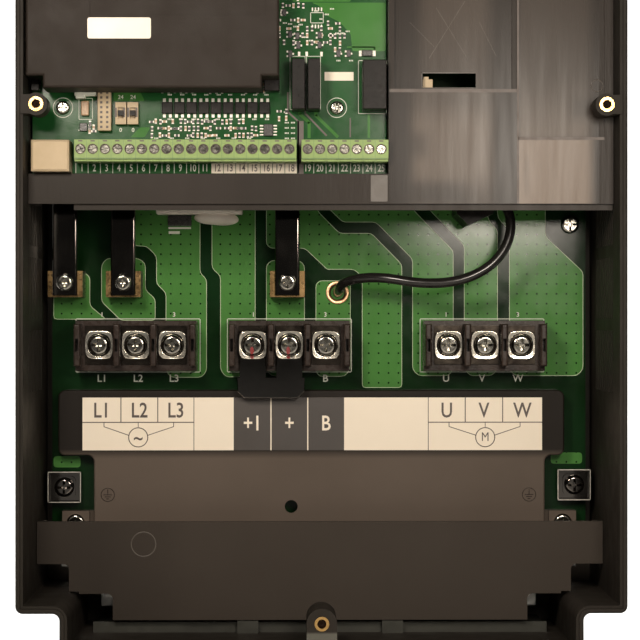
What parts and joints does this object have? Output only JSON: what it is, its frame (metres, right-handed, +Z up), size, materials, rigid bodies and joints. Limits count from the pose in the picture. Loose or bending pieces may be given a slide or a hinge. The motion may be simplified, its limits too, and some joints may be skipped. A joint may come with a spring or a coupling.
{
  "type": "variable frequency drive",
  "caption": "Wall-mounted variable frequency drive, front covers off, with power terminals, control board, guards, heat sink and fans.",
  "frame": {"origin": "middle of the flat base, under the bounding box's centre", "axes": "+X to the right seen from the front, +Y from the front to the wall, +Z up"},
  "size_m": [0.25, 0.17, 0.39],
  "materials": {
    "housing_plastic": "moulded, fine grain",
    "zinc_steel": "zinc plated",
    "sink_aluminium": "extruded",
    "black_plastic": "moulded",
    "circuit_board": "solder resist",
    "nickel_plate": "plated",
    "brass": "turned",
    "terminal_green": "moulded",
    "cream_plastic": "moulded",
    "label_film": "printed film",
    "rubber": "soft",
    "white_ceramic": "cast",
    "capacitor_sleeve": "shrink sleeve",
    "lead_jacket": "extruded"
  },
  "bodies": {
    "root": {"board_screws": "nickel_plate", "board_standoffs": "zinc_steel", "brass_inserts": "brass", "busbar_posts": "brass", "busbars": "nickel_plate", "cable_deck": "housing_plastic", "cable_grommets": "rubber", "comm_port": "cream_plastic", "control_board": "circuit_board", "control_terminal_screws": "nickel_plate", "control_terminals": "terminal_green", "control_tray": "housing_plastic", "current_sensor": "black_plastic", "dc_capacitors": "capacitor_sleeve", "dc_link_bar": "nickel_plate", "dc_terminal_block": "black_plastic", "earth_blocks": "nickel_plate", "fan_frames": "black_plastic", "gland_plate": "zinc_steel", "heat_sink": "sink_aluminium", "housing": "housing_plastic", "input_terminal_block": "black_plastic", "option_cover": "housing_plastic", "output_terminal_block": "black_plastic", "power_board": "circuit_board", "power_modules": "black_plastic", "rear_chassis": "zinc_steel", "relays": "black_plastic", "sense_lead": "lead_jacket", "surge_absorber": "white_ceramic", "switch_bodies": "cream_plastic", "terminal_label": "label_film", "terminal_plates": "nickel_plate", "wiring_guard": "housing_plastic"},
    "input_washer_1": {"input_washer_1": "nickel_plate"},
    "input_screw_1": {"input_screw_1": "nickel_plate"},
    "input_washer_2": {"input_washer_2": "nickel_plate"},
    "input_screw_2": {"input_screw_2": "nickel_plate"},
    "input_washer_3": {"input_washer_3": "nickel_plate"},
    "input_screw_3": {"input_screw_3": "nickel_plate"},
    "dc_washer_1": {"dc_washer_1": "nickel_plate"},
    "dc_screw_1": {"dc_screw_1": "nickel_plate"},
    "dc_washer_2": {"dc_washer_2": "nickel_plate"},
    "dc_screw_2": {"dc_screw_2": "nickel_plate"},
    "dc_washer_3": {"dc_washer_3": "nickel_plate"},
    "dc_screw_3": {"dc_screw_3": "nickel_plate"},
    "output_washer_1": {"output_washer_1": "nickel_plate"},
    "output_screw_1": {"output_screw_1": "nickel_plate"},
    "output_washer_2": {"output_washer_2": "nickel_plate"},
    "output_screw_2": {"output_screw_2": "nickel_plate"},
    "output_washer_3": {"output_washer_3": "nickel_plate"},
    "output_screw_3": {"output_screw_3": "nickel_plate"},
    "earth_washer_left": {"earth_washer_left": "nickel_plate"},
    "earth_screw_left": {"earth_screw_left": "nickel_plate"},
    "earth_washer_right": {"earth_washer_right": "nickel_plate"},
    "earth_screw_right": {"earth_screw_right": "nickel_plate"},
    "fan_rotor_left": {"fan_rotor_left": "black_plastic"},
    "fan_rotor_right": {"fan_rotor_right": "black_plastic"},
    "switch_knob_left": {"switch_knob_left": "black_plastic"},
    "switch_knob_right": {"switch_knob_right": "black_plastic"}
  },
  "joints": [
    {"name": "input_washer_1_lift", "type": "slide", "parent": "root", "child": "input_washer_1", "axis": [0, -1, 0], "range_m": [0, 0.004]},
    {"name": "input_screw_1_turn", "type": "hinge", "parent": "input_washer_1", "child": "input_screw_1", "pos_m": [-0.0965, -0.01, 0.127], "axis": [0, -1, 0], "range_deg": [0, 1800]},
    {"name": "input_washer_2_lift", "type": "slide", "parent": "root", "child": "input_washer_2", "axis": [0, -1, 0], "range_m": [0, 0.004]},
    {"name": "input_screw_2_turn", "type": "hinge", "parent": "input_washer_2", "child": "input_screw_2", "pos_m": [-0.0805, -0.01, 0.127], "axis": [0, -1, 0], "range_deg": [0, 1800]},
    {"name": "input_washer_3_lift", "type": "slide", "parent": "root", "child": "input_washer_3", "axis": [0, -1, 0], "range_m": [0, 0.004]},
    {"name": "input_screw_3_turn", "type": "hinge", "parent": "input_washer_3", "child": "input_screw_3", "pos_m": [-0.0645, -0.01, 0.127], "axis": [0, -1, 0], "range_deg": [0, 1800]},
    {"name": "dc_washer_1_lift", "type": "slide", "parent": "root", "child": "dc_washer_1", "axis": [0, -1, 0], "range_m": [0, 0.004]},
    {"name": "dc_screw_1_turn", "type": "hinge", "parent": "dc_washer_1", "child": "dc_screw_1", "pos_m": [-0.0293, -0.01, 0.127], "axis": [0, -1, 0], "range_deg": [0, 1800]},
    {"name": "dc_washer_2_lift", "type": "slide", "parent": "root", "child": "dc_washer_2", "axis": [0, -1, 0], "range_m": [0, 0.004]},
    {"name": "dc_screw_2_turn", "type": "hinge", "parent": "dc_washer_2", "child": "dc_screw_2", "pos_m": [-0.0133, -0.01, 0.127], "axis": [0, -1, 0], "range_deg": [0, 1800]},
    {"name": "dc_washer_3_lift", "type": "slide", "parent": "root", "child": "dc_washer_3", "axis": [0, -1, 0], "range_m": [0, 0.004]},
    {"name": "dc_screw_3_turn", "type": "hinge", "parent": "dc_washer_3", "child": "dc_screw_3", "pos_m": [0.0027, -0.01, 0.127], "axis": [0, -1, 0], "range_deg": [0, 1800]},
    {"name": "output_washer_1_lift", "type": "slide", "parent": "root", "child": "output_washer_1", "axis": [0, -1, 0], "range_m": [0, 0.004]},
    {"name": "output_screw_1_turn", "type": "hinge", "parent": "output_washer_1", "child": "output_screw_1", "pos_m": [0.0564, -0.01, 0.127], "axis": [0, -1, 0], "range_deg": [0, 1800]},
    {"name": "output_washer_2_lift", "type": "slide", "parent": "root", "child": "output_washer_2", "axis": [0, -1, 0], "range_m": [0, 0.004]},
    {"name": "output_screw_2_turn", "type": "hinge", "parent": "output_washer_2", "child": "output_screw_2", "pos_m": [0.0724, -0.01, 0.127], "axis": [0, -1, 0], "range_deg": [0, 1800]},
    {"name": "output_washer_3_lift", "type": "slide", "parent": "root", "child": "output_washer_3", "axis": [0, -1, 0], "range_m": [0, 0.004]},
    {"name": "output_screw_3_turn", "type": "hinge", "parent": "output_washer_3", "child": "output_screw_3", "pos_m": [0.0884, -0.01, 0.127], "axis": [0, -1, 0], "range_deg": [0, 1800]},
    {"name": "earth_washer_left_lift", "type": "slide", "parent": "root", "child": "earth_washer_left", "axis": [0, -1, 0], "range_m": [0, 0.0032]},
    {"name": "earth_screw_left_turn", "type": "hinge", "parent": "earth_washer_left", "child": "earth_screw_left", "pos_m": [-0.1124, -0.01, 0.0643], "axis": [0, -1, 0], "range_deg": [0, 1440]},
    {"name": "earth_washer_right_lift", "type": "slide", "parent": "root", "child": "earth_washer_right", "axis": [0, -1, 0], "range_m": [0, 0.0032]},
    {"name": "earth_screw_right_turn", "type": "hinge", "parent": "earth_washer_right", "child": "earth_screw_right", "pos_m": [0.1124, -0.01, 0.0652], "axis": [0, -1, 0], "range_deg": [0, 1440]},
    {"name": "fan_rotor_left_spin", "type": "hinge", "parent": "root", "child": "fan_rotor_left", "pos_m": [-0.05, 0.0536, 0.369], "axis": [0, 0, 1], "continuous": true},
    {"name": "fan_rotor_right_spin", "type": "hinge", "parent": "root", "child": "fan_rotor_right", "pos_m": [0.05, 0.0536, 0.369], "axis": [0, 0, 1], "continuous": true},
    {"name": "switch_knob_left_slide", "type": "slide", "parent": "root", "child": "switch_knob_left", "axis": [0, 0, 1], "range_m": [-0.0012, 0.0012]},
    {"name": "switch_knob_right_slide", "type": "slide", "parent": "root", "child": "switch_knob_right", "axis": [0, 0, 1], "range_m": [-0.0012, 0.0012]}
  ],
  "couplings": [
    {"joint": "input_screw_1_turn", "follows": "input_washer_1_lift", "rad_per_m": 7854},
    {"joint": "input_screw_2_turn", "follows": "input_washer_2_lift", "rad_per_m": 7854},
    {"joint": "input_screw_3_turn", "follows": "input_washer_3_lift", "rad_per_m": 7854},
    {"joint": "dc_screw_1_turn", "follows": "dc_washer_1_lift", "rad_per_m": 7854},
    {"joint": "dc_screw_2_turn", "follows": "dc_washer_2_lift", "rad_per_m": 7854},
    {"joint": "dc_screw_3_turn", "follows": "dc_washer_3_lift", "rad_per_m": 7854},
    {"joint": "output_screw_1_turn", "follows": "output_washer_1_lift", "rad_per_m": 7854},
    {"joint": "output_screw_2_turn", "follows": "output_washer_2_lift", "rad_per_m": 7854},
    {"joint": "output_screw_3_turn", "follows": "output_washer_3_lift", "rad_per_m": 7854},
    {"joint": "earth_screw_left_turn", "follows": "earth_washer_left_lift", "rad_per_m": 7854},
    {"joint": "earth_screw_right_turn", "follows": "earth_washer_right_lift", "rad_per_m": 7854}
  ]
}
